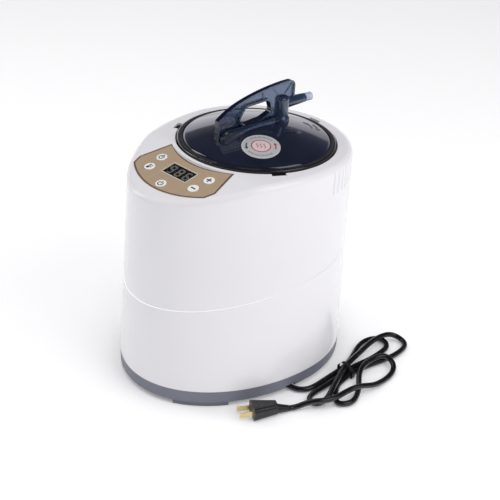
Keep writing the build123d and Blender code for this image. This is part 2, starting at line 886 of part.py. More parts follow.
def digit_bars(lit):
    """Seven-bar figure about the current location: a top, b, c right, d bottom, e, f left, g middle."""
    half_w = digit_height / 4
    half_h = digit_height / 2
    bars = {
        "a": (0, half_h, True),
        "d": (0, -half_h, True),
        "g": (0, 0, True),
        "b": (half_w, half_h / 2, False),
        "c": (half_w, -half_h / 2, False),
        "e": (-half_w, -half_h / 2, False),
        "f": (-half_w, half_h / 2, False),
    }
    for name in lit:
        x, y, flat = bars[name]
        span = 2 * half_w if flat else half_h
        with Locations(Location((x, y, 0), (0, 0, 0 if flat else 90))):
            SlotCenterToCenter(span - bar_width - 2 * bar_gap, bar_width)


shown_digits = ("abcdfg", "abcdefg", "acdefg")

with BuildPart() as display_digits:
    with BuildSketch(panel_plane.offset(module_top)):
        for index, lit in enumerate(shown_digits):
            with Locations((display_centre[0] + (index - 1) * digit_pitch, display_centre[1])):
                digit_bars(lit)
    extrude(amount=digit_top - module_top)
export(display_digits, "display_digits")

with BuildPart() as display_window:
    with BuildSketch(panel_plane.offset(window_bottom)):
        with Locations(display_centre):
            Rectangle(*display_size)
    extrude(amount=panel_thickness)
    chamfer(display_window.faces().sort_by(Axis.Z)[-1].edges(), length=0.3)
export(display_window, "display_window")

with BuildPart() as panel_plate:
    with BuildSketch(panel_plane.offset(-panel_recess)):
        panel_outline()
        with Locations(display_centre):
            Rectangle(display_size[0] + 0.2, display_size[1] + 0.2, mode=Mode.SUBTRACT)
        with Locations(*key_places.values()):
            Circle(key_radius + key_gap, mode=Mode.SUBTRACT)
    extrude(amount=panel_thickness)
export(panel_plate, "panel_plate")

for key_name, key_place in key_places.items():
    with BuildPart() as key:
        with BuildSketch(panel_plane.offset(key_flange_top)):
            with Locations(key_place):
                Circle(key_flange_radius)
        extrude(amount=-key_flange_thickness)
        with BuildSketch(panel_plane.offset(key_flange_top)):
            with Locations(key_place):
                Circle(key_radius)
        extrude(amount=key_proud + panel_thickness - panel_recess - key_flange_top)
        fillet(key.edges().sort_by(Axis((0, 0, 0), panel_plane.z_dir))[-1], radius=0.5)
    export(key, key_name)

# ---------------------------------------------------------------- lid
ring_inner_radius = 84.0
ring_round = 2.0
ring_bottom_z = 272.5
dome_seat_z = 279.2
dome_flange_radius = 89.1
dome_seat_radius = 89.3
dome_flange_top = 281.6
seal_inner_radius = 83.2
seal_outer_radius = 90.4
seal_bottom_gap = 0.1
baffle_radius = 62.0
baffle_z = 270.0
baffle_sheet = 1.2
baffle_post_ring = 46.0
baffle_post_radius = 4.0
baffle_angles = (30, 150, 270)
baffle_points = [polar_point(baffle_post_ring, angle, 0)[:2] for angle in baffle_angles]


def dome_z(radius, drop=0.0):
    """Height of the dome's outer surface, or of a surface drop below it."""
    sphere = dome_sphere - drop
    return dome_top_z - dome_sphere + (sphere * sphere - radius * radius) ** 0.5


with BuildPart() as lid_gasket:
    with BuildSketch(lid_section):
        with BuildLine():
            Polyline(
                (seal_inner_radius, pot_rim_z + seal_bottom_gap),
                (seal_outer_radius, pot_rim_z + seal_bottom_gap),
                (seal_outer_radius, ring_bottom_z - 1.6),
                (seal_outer_radius - 2.4, ring_bottom_z - seal_bottom_gap),
                (seal_inner_radius, ring_bottom_z - seal_bottom_gap),
                close=True,
            )
        make_face()
    revolve(axis=lid_axis)
export(lid_gasket, "lid_gasket")

with BuildPart() as lid_ring:
    with BuildSketch(lid_section):
        with BuildLine():
            Polyline(
                (lid_radius - ring_round, lid_top_z),
                (dome_seat_radius, lid_top_z),
                (dome_seat_radius, dome_seat_z),
                (ring_inner_radius, dome_seat_z),
                (ring_inner_radius, ring_bottom_z),
                (lid_radius, ring_bottom_z),
                (lid_radius, lid_top_z - ring_round),
            )
            RadiusArc(
                (lid_radius - ring_round, lid_top_z),
                (lid_radius, lid_top_z - ring_round),
                ring_round,
            )
        make_face()
    revolve(axis=lid_axis)
    with BuildSketch(Plane.XY.offset(lug_bottom_z)):
        for angle in lug_angles:
            x, y, _ = polar_point(lug_reach - 5, angle, 0)
            with Locations(Location((x, y, 0), (0, 0, angle))):
                Rectangle(10, lug_width)
    extrude(amount=lug_top_z - lug_bottom_z)
export(lid_ring, "lid_ring")

with BuildPart() as dome_outside:
    with BuildSketch(lid_section):
        with BuildLine():
            edge_z = dome_z(dome_edge_radius - 3)
            ThreePointArc((0, dome_top_z), (50, dome_z(50)), (dome_edge_radius - 3, edge_z))
            TangentArc(
                (dome_edge_radius - 3, edge_z),
                (dome_edge_radius, dome_flange_top),
                tangent=(cos(radians(19)), -sin(radians(19))),
            )
            Polyline(
                (dome_edge_radius, dome_flange_top),
                (dome_flange_radius, dome_flange_top),
                (dome_flange_radius, dome_seat_z),
                (0, dome_seat_z),
                (0, dome_top_z),
            )
        make_face()
    revolve(axis=lid_axis)

with BuildPart() as dome_inside:
    with BuildSketch(lid_section):
        with BuildLine():
            inner_edge = dome_edge_radius - 4
            inner_z = dome_z(inner_edge, dome_skin)
            ThreePointArc((0, dome_top_z - dome_skin), (50, dome_z(50, dome_skin)), (inner_edge, inner_z))
            Polyline(
                (inner_edge, inner_z),
                (inner_edge, dome_seat_z),
                (0, dome_seat_z),
                (0, dome_top_z - dome_skin),
            )
        make_face()
    revolve(axis=lid_axis)

with BuildPart() as lid_dome:
    add(dome_outside.part)
    add(dome_inside.part, mode=Mode.SUBTRACT)
    with BuildSketch(Plane.XY.offset(baffle_z + baffle_sheet)):
        with Locations(baffle_points):
            Circle(baffle_post_radius)
    extrude(until=Until.NEXT)
    with BuildSketch(Plane.XY.offset(baffle_z + baffle_sheet)):
        with Locations(baffle_points):
            Circle(board_screw_radius + screw_clearance)
    extrude(amount=12, mode=Mode.SUBTRACT)
    with BuildSketch(Plane.XY.offset(dome_seat_z)):
        with Locations(along_handle(outlet_s, 0)[:2]):
            Circle(steam_bore + 1.5)
    extrude(amount=dome_top_z - dome_seat_z, mode=Mode.SUBTRACT)
export(lid_dome, "lid_dome")

with BuildPart() as splash_baffle:
    with BuildSketch(Plane.XY.offset(baffle_z)):
        with Locations(lid_centre):
            Circle(baffle_radius)
            with PolarLocations(baffle_post_ring, 12, start_angle=15):
                Rectangle(16, 4, mode=Mode.SUBTRACT)
        with Locations(baffle_points):
            Circle(board_screw_radius + 0.2, mode=Mode.SUBTRACT)
    extrude(amount=baffle_sheet)
export(splash_baffle, "splash_baffle")

with BuildPart() as baffle_screws:
    screw(baffle_points, Plane.XY.offset(baffle_z), board_screw_radius, 12, 2.6, 1.8)
export(baffle_screws, "baffle_screws")

label_place = (38.7, -2.4)
label_radius = 22.5
label_thickness = 0.3
with BuildPart() as lid_label:
    with BuildSketch(Plane.XY.offset(dome_seat_z)):
        with Locations(label_place):
            Circle(label_radius)
    extrude(amount=dome_top_z - dome_seat_z)
    with BuildSketch(lid_section):
        with BuildLine():
            ThreePointArc(
                (0, dome_z(0, -label_thickness)),
                (50, dome_z(50, -label_thickness)),
                (80, dome_z(80, -label_thickness)),
            )
            Line((80, dome_z(80, -label_thickness)), (80, dome_z(80)))
            ThreePointArc((80, dome_z(80)), (50, dome_z(50)), (0, dome_z(0)))
            Line((0, dome_z(0)), (0, dome_z(0, -label_thickness)))
        make_face()
    revolve(axis=lid_axis, mode=Mode.INTERSECT)
export(lid_label, "lid_label")

# ---------------------------------------------------------------- steam column, nozzle and tip
skirt_radius = 11.2
skirt_top_z = 301.0
column_bore = 5.0
column_cap = 2.5
glue_gap = 0.05
nozzle_axis = Axis(along_handle(0, nozzle_z), handle_dir)
column_plane = Plane(origin=along_handle(outlet_s, 0), x_dir=handle_dir, z_dir=handle_plane.z_dir)
column_axis = Axis(along_handle(outlet_s, 0), (0, 0, 1))


def column_face(grow=0.0):
    """Half section of the steam column: flared skirt, straight tube and rounded cap."""
    with BuildLine() as outline:
        Polyline(
            (0, dome_seat_z),
            (skirt_radius + grow, dome_seat_z),
            (skirt_radius + grow, skirt_top_z),
            (outlet_radius + grow, skirt_top_z + 3),
            (outlet_radius + grow, outlet_top_z - 4),
        )
        RadiusArc(
            (outlet_radius + grow, outlet_top_z - 4),
            (outlet_radius - 4, outlet_top_z + grow),
            -4 - grow,
        )
        Polyline((outlet_radius - 4, outlet_top_z + grow), (0, outlet_top_z + grow), (0, dome_seat_z))
    make_face(outline.edges())


with BuildPart() as steam_column:
    with BuildSketch(column_plane):
        column_face()
    revolve(axis=column_axis)
    with BuildSketch(column_plane):
        with BuildLine():
            Polyline(
                (0, dome_seat_z),
                (column_bore, dome_seat_z),
                (column_bore, outlet_top_z - column_cap - column_bore),
                (0, outlet_top_z - column_cap),
                close=True,
            )
        make_face()
    revolve(axis=column_axis, mode=Mode.SUBTRACT)
    with BuildSketch(handle_plane):
        with BuildLine():
            Polyline(
                (outlet_s, nozzle_z),
                (outlet_s, nozzle_z + steam_bore),
                (outlet_s + 2 * outlet_radius, nozzle_z + steam_bore),
                (outlet_s + 2 * outlet_radius, nozzle_z),
                close=True,
            )
        make_face()
    revolve(axis=nozzle_axis, mode=Mode.SUBTRACT)
    add(dome_outside.part, mode=Mode.SUBTRACT)
export(steam_column, "steam_column")

with BuildPart() as column_envelope:
    with BuildSketch(column_plane):
        column_face(glue_gap)
    revolve(axis=column_axis)

with BuildPart() as steam_nozzle:
    with BuildSketch(handle_plane):
        with BuildLine():
            Polyline(
                (outlet_s, nozzle_z + steam_bore),
                (outlet_s, nozzle_z + nozzle_root_radius),
                (nozzle_end_s, nozzle_z + nozzle_end_radius),
                (nozzle_end_s, nozzle_z + steam_bore),
                close=True,
            )
        make_face()
    revolve(axis=nozzle_axis)
    add(column_envelope.part, mode=Mode.SUBTRACT)
export(steam_nozzle, "steam_nozzle")

with BuildPart() as nozzle_tip:
    with BuildSketch(handle_plane):
        with BuildLine():
            Polyline(
                (tip_end_s - tip_round, nozzle_z + tip_radius),
                (nozzle_end_s + glue_gap, nozzle_z + tip_radius),
                (nozzle_end_s + glue_gap, nozzle_z + steam_bore),
                (tip_end_s, nozzle_z + steam_bore),
                (tip_end_s, nozzle_z + tip_radius - tip_round),
            )
            RadiusArc(
                (tip_end_s - tip_round, nozzle_z + tip_radius),
                (tip_end_s, nozzle_z + tip_radius - tip_round),
                tip_round,
            )
        make_face()
    revolve(axis=nozzle_axis)
export(nozzle_tip, "nozzle_tip")

# ---------------------------------------------------------------- lid_handle
web_half = 1.5
rib_half = 3.0
rib_width = 2.6
brace_width = 1.8
fin_front_s = -63.0
fin_front_top_z = 317.0
fin_rear_s = 54.0
fin_rear_top_z = 346.0
fin_foot_z = 284.0
bar_half = 7.5
bar_round = 5.0
bar_top_z = 304.5
bar_front_s = -59.0
bar_rear_s = 32.0


def fin_face():
    """Side view of the fin: upright front edge, arched back, upright rear edge, foot below."""
    with BuildLine() as outline:
        Line((fin_front_s, fin_foot_z), (fin_front_s + 0.7, fin_front_top_z))
        front_arc = ThreePointArc((fin_front_s + 0.7, fin_front_top_z), (-46.5, 326.8), (-28.0, 334.2))
        TangentArc(front_arc @ 1, (46.0, fin_rear_top_z), tangent=front_arc % 1)
        RadiusArc((46.0, fin_rear_top_z), (fin_rear_s, 337.5), 8.2)
        Polyline(
            (fin_rear_s, 337.5),
            (fin_rear_s, nozzle_z),
            (outlet_s, nozzle_z),
            (outlet_s, fin_foot_z),
            (fin_front_s, fin_foot_z),
        )
    make_face(outline.edges())


def finger_hole_face(mode=Mode.ADD):
    """Finger hole of the handle, a long teardrop, blunt towards the rear."""
    with BuildLine() as outline:
        FilletPolyline(
            (-32.0, 311.0),
            (-22.0, 326.0),
            (13.0, 328.0),
            (18.0, 313.5),
            (3.0, 307.5),
            (-24.0, 304.5),
            radius=5.0,
            close=True,
        )
    make_face(outline.edges(), mode=mode)


with BuildSketch() as fin_core:
    fin_face()
    offset(amount=-rib_width)

with BuildSketch() as hole_rim:
    finger_hole_face()
    offset(amount=rib_width)

with BuildPart() as grip_bar:
    with BuildSketch(handle_plane):
        with BuildLine():
            Line((bar_rear_s, fin_foot_z), (bar_front_s, fin_foot_z))
            Line((bar_front_s, fin_foot_z), (bar_front_s, bar_top_z - 9))
            RadiusArc((bar_front_s, bar_top_z - 9), (bar_front_s + 9, bar_top_z), 9)
            Line((bar_front_s + 9, bar_top_z), (bar_rear_s, bar_top_z))
            Line((bar_rear_s, bar_top_z), (bar_rear_s, fin_foot_z))
        make_face()
    extrude(amount=bar_half, both=True)
    sides = grip_bar.faces().sort_by(Axis((0, 0, 0), handle_plane.z_dir))
    fillet(sides[0].edges() + sides[-1].edges(), radius=bar_round)

with BuildPart() as lid_handle:
    # thin web
    with BuildSketch(handle_plane):
        fin_face()
    extrude(amount=web_half, both=True)
    # stiffening rib along the whole edge
    with BuildSketch(handle_plane):
        fin_face()
        add(fin_core.sketch, mode=Mode.SUBTRACT)
    extrude(amount=rib_half, both=True)
    # braces that meet above the steam column, and a short one over the finger hole
    with BuildSketch(handle_plane):
        with BuildLine():
            Line((19.0, 342.0), (outlet_s - 1, outlet_top_z - 2))
            Line((fin_rear_s - 4, 342.0), (outlet_s + 1, outlet_top_z - 2))
            Line((5.0, 328.0), (5.0, 339.5))
        trace(line_width=brace_width)
    extrude(amount=rib_half - 0.6, both=True)
    # rounded bar under the fingers, then the rim of the finger hole
    add(grip_bar.part)
    with BuildSketch(handle_plane):
        add(hole_rim.sketch)
    extrude(amount=rib_half + 1, both=True)
    with BuildSketch(handle_plane):
        finger_hole_face()
    extrude(amount=2 * bar_half, both=True, mode=Mode.SUBTRACT)
    # seat on the dome and around the steam outlet
    add(dome_outside.part, mode=Mode.SUBTRACT)
    add(column_envelope.part, mode=Mode.SUBTRACT)
    with BuildSketch(handle_plane):
        with BuildLine():
            Polyline(
                (outlet_s, nozzle_z),
                (outlet_s, nozzle_z + nozzle_root_radius + glue_gap),
                (tip_end_s, nozzle_z + nozzle_root_radius + glue_gap),
                (tip_end_s, nozzle_z),
                close=True,
            )
        make_face()
    revolve(axis=nozzle_axis, mode=Mode.SUBTRACT)
export(lid_handle, "lid_handle")

# ---------------------------------------------------------------- power cord, tie and plug
floor_lay = 4.1              # centre height of a strand lying on the floor
over_lay = 11.4              # centre height of a strand crossing another
high_lay = 11.7              # the same where the strands cross at a flat angle
cord_spans = 8               # lengths the route is swept in
cord_path = [
    # down through the base pan and out under the skirt
    (*cord_inlet, 36.0),
    (*cord_inlet, 29.0),
    (*cord_inlet, 22.0),
    (*cord_inlet, 16.0),
    (101.0, -14.0, 8.6),
    (108.5, -13.7, 4.9),
    (117.0, -12.4, floor_lay),
    (129.0, -10.0, floor_lay),
    (138.0, -2.0, floor_lay),
    (141.5, 14.0, floor_lay),
    (141.0, 38.0, floor_lay),
    (140.2, 62.0, floor_lay),
    # first rear loop and back through the tie
    (134.0, 90.0, floor_lay),
    (124.0, 116.0, floor_lay),
    (122.0, 140.0, floor_lay),
    (132.0, 154.0, floor_lay),
    (145.0, 150.0, floor_lay),
    (151.0, 132.0, floor_lay),
    (151.0, 106.0, floor_lay),
    (148.0, 80.0, floor_lay),
    (148.0, 56.0, floor_lay),
    # front loop, rising over the other strands at the tie
    (149.5, 28.0, floor_lay),
    (149.5, 8.0, floor_lay),
    (151.0, -6.0, floor_lay),
    (156.0, -14.0, floor_lay),
    (164.0, -14.0, floor_lay),
    (169.0, -6.0, 5.0),
    (168.5, 6.0, 8.4),
    (163.5, 20.0, high_lay),
    (156.0, 38.0, high_lay),
    (149.0, 54.0, over_lay),
    (144.3, 70.0, over_lay),
    # second rear loop, over the first and down again
    (139.5, 98.0, over_lay),
    (135.0, 124.0, over_lay),
    (135.0, 152.0, high_lay),
    (142.0, 170.0, 8.0),
    (157.0, 172.0, floor_lay),
    (166.0, 154.0, floor_lay),
    (165.0, 126.0, floor_lay),
    (159.0, 98.0, floor_lay),
    (155.8, 76.0, floor_lay),
    (156.0, 54.0, floor_lay),
    # right front loop, then right rear loop
    (160.0, 33.0, floor_lay),
    (171.5, 16.0, floor_lay),
    (183.0, 8.0, floor_lay),
    (191.0, 18.0, floor_lay),
    (188.0, 36.0, floor_lay),
    (178.0, 52.0, 5.6),
    (167.0, 66.0, 9.8),
    (160.0, 84.0, over_lay),
    (160.0, 104.0, high_lay),
    (167.0, 119.0, high_lay),
    (179.0, 119.0, 7.4),
    (188.0, 106.0, floor_lay),
    (191.0, 84.0, floor_lay),
    # over the front loops to the plug
    (190.0, 64.0, 7.0),
    (185.0, 46.0, over_lay),
    (181.0, 28.0, 11.8),
    (180.0, 10.0, 12.0),
    (176.0, -6.0, 12.0),
    (167.0, -19.0, over_lay),
    (157.0, -31.0, 6.2),
    (153.2, -37.3, 4.2),
    (149.8, -43.4, floor_lay),
]
tie_centre = (149.0, 63.0)
tie_corners = (               # across the bundle: offset from its centre, height
    (-13.4, 0.0),
    (11.6, 0.0),
    (11.6, 8.6),
    (2.6, 16.2),
    (-7.8, 16.2),
    (-13.4, 9.6),
)
tie_band = 5.0
tie_thickness = 0.5
tie_round = 3.0
plug_gap = 1.0
plug_neck_radius = 3.8
plug_shoulder_radius = 6.1
plug_neck_length = 16.0
plug_length = 30.0
plug_width = 25.0
plug_height = 17.0
plug_round = 5.0
pin_pitch = 12.7
pin_blade = (1.5, 6.3)
pin_length = 17.0
grommet_flange = 1.2
grommet_flange_height = 1.6
grommet_bore = cord_radius + 0.3
grommet_section = Plane(origin=(*cord_inlet, 0), x_dir=(1, 0, 0), z_dir=(0, -1, 0))

cord_route = Spline(*cord_path)
cord_wire = Wire([cord_route.trim(n / cord_spans, (n + 1) / cord_spans) for n in range(cord_spans)])

with BuildPart() as power_cord:
    with BuildSketch(Plane(origin=cord_route @ 0, z_dir=cord_route % 0)):
        Circle(cord_radius)
    sweep(path=cord_wire)
export(power_cord, "power_cord")

with BuildPart() as cord_grommet:
    with BuildSketch(grommet_section):
        grommet_low = trough_roof_z - glue_gap
        grommet_high = trough_roof_z + trough_skin + glue_gap
        with BuildLine():
            Polyline(
                (grommet_bore, grommet_low - grommet_flange_height),
                (grommet_hole_radius + grommet_flange, grommet_low - grommet_flange_height),
                (grommet_hole_radius + grommet_flange, grommet_low),
                (grommet_hole_radius - glue_gap, grommet_low),
                (grommet_hole_radius - glue_gap, grommet_high),
                (grommet_hole_radius + grommet_flange, grommet_high),
                (grommet_hole_radius + grommet_flange, grommet_high + grommet_flange_height),
                (grommet_bore, grommet_high + grommet_flange_height),
                close=True,
            )
        make_face()
    revolve(axis=Axis((*cord_inlet, 0), (0, 0, 1)))
export(cord_grommet, "cord_grommet")

plug_dir = Vector((cord_route % 1).X, (cord_route % 1).Y, 0).normalized()
plug_plane = Plane(
    origin=cord_route @ 1 + plug_dir * plug_gap,
    x_dir=(-plug_dir.Y, plug_dir.X, 0),
    z_dir=plug_dir,
)
plug_rise = plug_height / 2 - floor_lay
plug_axis = Axis((0, 0, 0), plug_dir)

with BuildPart() as plug_body:
    # tapered strain relief
    with BuildSketch(plug_plane):
        Circle(plug_neck_radius)
    with BuildSketch(plug_plane.offset(plug_neck_length)):
        with Locations((0, plug_rise / 2)):
            Circle(plug_shoulder_radius)
    loft()
    # grip that widens towards the pins
    with BuildSketch(plug_plane.offset(plug_neck_length)):
        with Locations((0, plug_rise)):
            RectangleRounded(plug_width * 0.62, plug_height * 0.84, plug_round)
    with BuildSketch(plug_plane.offset(plug_neck_length + plug_length)):
        with Locations((0, plug_rise)):
            RectangleRounded(plug_width, plug_height, plug_round)
    loft()
export(plug_body, "plug_body")

with BuildPart() as plug_pins:
    with BuildSketch(plug_plane.offset(plug_neck_length + plug_length + glue_gap)):
        with Locations((-pin_pitch / 2, plug_rise), (pin_pitch / 2, plug_rise)):
            Rectangle(*pin_blade)
    extrude(amount=pin_length)
    chamfer(plug_pins.edges().group_by(plug_axis)[-1], length=0.4)
export(plug_pins, "plug_pins")

with BuildPart() as cord_tie:
    with BuildSketch(Plane(origin=(*tie_centre, 0), x_dir=(1, 0, 0), z_dir=(0, -1, 0))):
        with BuildLine():
            FilletPolyline(*tie_corners, radius=tie_round, close=True)
        make_face()
        offset(amount=-tie_thickness, mode=Mode.SUBTRACT)
    extrude(amount=tie_band / 2, both=True)
export(cord_tie, "cord_tie")

# ---------------------------------------------------------------- inner wiring
lead_radius = 1.3
lead_end_gap = 0.5
lead_starts = (14.0, 28.0)
ribbon_width = 14.0
ribbon_thickness = 1.2
ribbon_top_local = (0.0, -58.0)

with BuildPart() as heater_leads:
    for lead_x, tail in zip(lead_starts, (end, start)):
        with BuildLine() as lead_line:
            Spline(
                (lead_x, terminal_place[1], power_board_top + 12 + lead_end_gap),
                (lead_x, terminal_place[1] + 2, 48.0),
                (lead_x, -88.0, 66.0),
                ((lead_x + tail[0]) / 2, -62.0, 73.0),
                (tail[0], -38.0, 71.5),
                (tail[0], tail[1] - 12, 66.5),
                (tail[0], tail[1] - lead_radius - lead_end_gap, 64.5),
            )
        with BuildSketch(Plane(origin=lead_line.line @ 0, z_dir=lead_line.line % 0)):
            Circle(lead_radius)
        sweep()
export(heater_leads, "heater_leads")

ribbon_top = panel_plane.from_local_coords((*ribbon_top_local, control_board_top - board_thickness))
with BuildPart() as display_cable:
    with BuildSketch(Plane.YZ):
        with BuildLine():
            Spline(
                (-102.0, power_board_top + 0.8),
                (-101.0, 70.0),
                (-97.0, 150.0),
                (-103.0, 220.0),
                (ribbon_top.Y, ribbon_top.Z - 0.4),
            )
        trace(line_width=ribbon_thickness)
    extrude(amount=ribbon_width / 2, both=True)
export(display_cable, "display_cable")
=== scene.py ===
"""Looks of a portable sauna steam generator: materials, printed marks, floor, lights and camera."""

import json
import math

import bmesh
import bpy
from mathutils import Matrix, Vector


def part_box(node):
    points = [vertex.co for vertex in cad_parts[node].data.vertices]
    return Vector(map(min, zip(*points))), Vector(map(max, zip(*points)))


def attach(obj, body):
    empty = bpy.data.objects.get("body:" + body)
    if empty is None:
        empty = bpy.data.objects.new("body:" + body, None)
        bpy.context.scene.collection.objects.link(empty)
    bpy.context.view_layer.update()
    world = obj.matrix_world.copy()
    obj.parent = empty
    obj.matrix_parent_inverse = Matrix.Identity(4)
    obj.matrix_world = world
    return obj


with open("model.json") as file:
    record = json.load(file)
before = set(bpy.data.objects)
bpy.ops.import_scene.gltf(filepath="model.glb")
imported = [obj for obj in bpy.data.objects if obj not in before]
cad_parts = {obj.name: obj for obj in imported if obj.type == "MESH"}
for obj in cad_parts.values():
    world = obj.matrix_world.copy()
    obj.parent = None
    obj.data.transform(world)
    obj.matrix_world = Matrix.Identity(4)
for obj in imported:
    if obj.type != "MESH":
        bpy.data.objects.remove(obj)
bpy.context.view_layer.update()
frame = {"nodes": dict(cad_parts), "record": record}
nodes = frame["nodes"]

MM = 0.001

# Key panel: a plane that slopes down to the front from an edge across the deck
PANEL_SLOPE = math.radians(11.7)
PANEL_X = Vector((1, 0, 0))
PANEL_Y = Vector((0, math.cos(PANEL_SLOPE), math.sin(PANEL_SLOPE)))
PANEL_N = Vector((0, -math.sin(PANEL_SLOPE), math.cos(PANEL_SLOPE)))
PANEL_EDGE = Vector((0, -55, 280.5)) * MM

# Lid: the dome is a part of a sphere, and the handle points a little clockwise from +Y
DOME_SPHERE = 260 * MM
HANDLE_TURN = math.radians(5.3)
HANDLE_NORMAL = Vector((math.cos(HANDLE_TURN), -math.sin(HANDLE_TURN), 0))

# Camera, from a fit to the photograph
VIEW_AZIMUTH = 43.03
VIEW_ELEVATION = 29.65
VIEW_ROLL = math.radians(3.49)
VIEW_DISTANCE = 1230.6 * MM
VIEW_TARGET = Vector((16.06, 14.08, 141.14)) * MM
PICTURE_SIDE = 500          # pixels
FOCAL_LENGTH = 992.2        # in the same pixels


# ---------------------------------------------------------------- materials
class Shader:
    """One node material around a Principled shader."""

    def __init__(self, name):
        self.material = bpy.data.materials.new(name)
        self.material.use_nodes = True
        self.tree = self.material.node_tree
        self.bsdf = self.tree.nodes["Principled BSDF"]
        texture = self.tree.nodes.new("ShaderNodeTexCoord")
        self.coords = texture.outputs["Object"]
        self.normal = texture.outputs["Normal"]

    def link(self, source, target):
        self.tree.links.new(source, target)

    def set(self, **inputs):
        for key, value in inputs.items():
            self.bsdf.inputs[key.replace("_", " ")].default_value = value

    def feed(self, source, name):
        """Drive a named input of the Principled shader."""
        self.link(source, self.bsdf.inputs[name])

    def feeding(self, name):
        """What drives a named input of the Principled shader now."""
        return self.bsdf.inputs[name].links[0].from_socket

    def stretched(self, scale):
        """Object coordinates stretched along the axes, for brushed or drawn grain."""
        mapping = self.tree.nodes.new("ShaderNodeMapping")
        mapping.inputs["Scale"].default_value = scale
        self.link(self.coords, mapping.inputs["Vector"])
        return mapping.outputs["Vector"]

    def split(self, vector):
        """The X, Y and Z of a vector."""
        node = self.tree.nodes.new("ShaderNodeSeparateXYZ")
        self.link(vector, node.inputs[0])
        return node.outputs

    def noise(self, scale, detail=4.0, vector=None, roughness=0.55):
        node = self.tree.nodes.new("ShaderNodeTexNoise")
        node.inputs["Scale"].default_value = scale
        node.inputs["Detail"].default_value = detail
        node.inputs["Roughness"].default_value = roughness
        self.link(vector or self.coords, node.inputs["Vector"])
        return node.outputs["Fac"]

    def compute(self, operation, *values):
        """Math node on sockets and plain numbers."""
        node = self.tree.nodes.new("ShaderNodeMath")
        node.operation = operation
        for socket, value in zip(node.inputs, values):
            if isinstance(value, float):
                socket.default_value = value
            else:
                self.link(value, socket)
        return node.outputs[0]

    def ranged(self, value, low, high, start=0.3, stop=0.7):
        """Value between start and stop, carried over to low and high."""
        node = self.tree.nodes.new("ShaderNodeMapRange")
        node.inputs["From Min"].default_value = start
        node.inputs["From Max"].default_value = stop
        node.inputs["To Min"].default_value = low
        node.inputs["To Max"].default_value = high
        self.link(value, node.inputs["Value"])
        return node.outputs["Result"]

    def blend(self, fac, one, two):
        """Colour between one and two, by fac."""
        node = self.tree.nodes.new("ShaderNodeMix")
        node.data_type = "RGBA"
        self.link(fac, node.inputs["Factor"])
        for name, colour in (("A_Color", one), ("B_Color", two)):
            target = socket_of(node.inputs, name)
            if isinstance(colour, tuple):
                target.default_value = (*colour, 1)
            else:
                self.link(colour, target)
        return socket_of(node.outputs, "Result_Color")

    def bump(self, height, strength, distance):
        node = self.tree.nodes.new("ShaderNodeBump")
        node.inputs["Strength"].default_value = strength
        node.inputs["Distance"].default_value = distance
        self.link(height, node.inputs["Height"])
        self.feed(node.outputs["Normal"], "Normal")


def socket_of(sockets, identifier):
    """Socket by identifier: a Mix node has several with one name."""
    return next(s for s in sockets if s.identifier == identifier)


def surface(name, colour, rough, vary=0.06, patch=18.0, grain=700.0, depth=0.02, strength=0.15,
            drawn=None, **inputs):
    """Varied surface: colour drifts in patches, roughness follows a finer noise, grain lifts the normal."""
    shader = Shader(name)
    shader.set(**inputs)
    vector = shader.stretched(drawn) if drawn else shader.coords
    dark = tuple(c * (1 - vary) for c in colour)
    light = tuple(min(1.0, c * (1 + vary)) for c in colour)
    patches = shader.ranged(shader.noise(patch, 3.0, vector), 0, 1)
    shader.feed(shader.blend(patches, dark, light), "Base Color")
    fine = shader.noise(grain * 0.35, 5.0, vector)
    shader.feed(shader.ranged(fine, rough * 0.8, rough * 1.25), "Roughness")
    shader.bump(shader.noise(grain, 3.0, vector), strength, depth * MM)
    return shader


def metal(name, colour, rough, **more):
    return surface(name, colour, rough, Metallic=1.0, **more)


def clear(name, colour, rough, edge, share, **more):
    """Clear coloured plastic: a share of the light passes, and a painted shade darkens it where it is seen
    edge-on.
    """
    shader = surface(name, colour, rough, vary=0.08, patch=60.0, depth=0.01, strength=0.06,
                     IOR=1.49, Transmission_Weight=share, **more)
    # painted shade: the colour turns to the edge colour where the surface is seen edge-on
    weight = shader.tree.nodes.new("ShaderNodeLayerWeight")
    weight.inputs["Blend"].default_value = 0.35
    edge_on_shade = shader.ranged(weight.outputs["Facing"], 0, 1, start=0.25, stop=0.8)
    shader.feed(shader.blend(edge_on_shade, shader.feeding("Base Color"), edge), "Base Color")
    return shader


def handle_look(name):
    """Clear blue handle: the plate shows through, and its narrow rim faces get a painted shade, so that
    they read as dark outlines.
    """
    shader = clear(name, (0.09, 0.135, 0.235), 0.04, edge=(0.02, 0.03, 0.08), share=0.9, Coat_Weight=0.4)
    across = shader.tree.nodes.new("ShaderNodeVectorMath")
    across.operation = "DOT_PRODUCT"
    across.inputs[1].default_value = HANDLE_NORMAL
    shader.link(shader.normal, across.inputs[0])
    broadside = shader.compute("ABSOLUTE", across.outputs["Value"])
    # painted shade: faces that are not broadside to the handle's plate are coloured near black
    tint = shader.ranged(broadside, 0, 1, start=0.35, stop=0.8)
    rim_painted_shade = (0.008, 0.012, 0.035)
    shader.feed(shader.blend(tint, rim_painted_shade, shader.feeding("Base Color")), "Base Color")
    shader.feed(shader.ranged(broadside, 0.45, 0.9, start=0.35, stop=0.8), "Transmission Weight")
    return shader


def shell_look(name):
    """Pearly white moulding, glossy, with faint mould flow, fine scuffs and a painted highlight on the step
    in the front wall.
    """
    shader = surface(name, (0.772, 0.762, 0.782), 0.2, vary=0.012, patch=9.0,
                     grain=260.0, depth=0.03, strength=0.05, Coat_Weight=0.35, Coat_Roughness=0.12)
    streaks = shader.noise(140.0, 6.0, shader.stretched((1, 1, 9)), 0.7)
    scuff = shader.ranged(streaks, 0, 1, start=0.6, stop=0.82)
    shader.feed(shader.compute("MULTIPLY_ADD", scuff, 0.12, shader.feeding("Roughness")), "Roughness")
    # painted highlight: white emission on the upward-facing top of the step in the front wall
    shader.feed(step_painted_highlight(shader), "Emission Strength")
    shader.set(Emission_Color=(1, 1, 1, 1))
    return shader


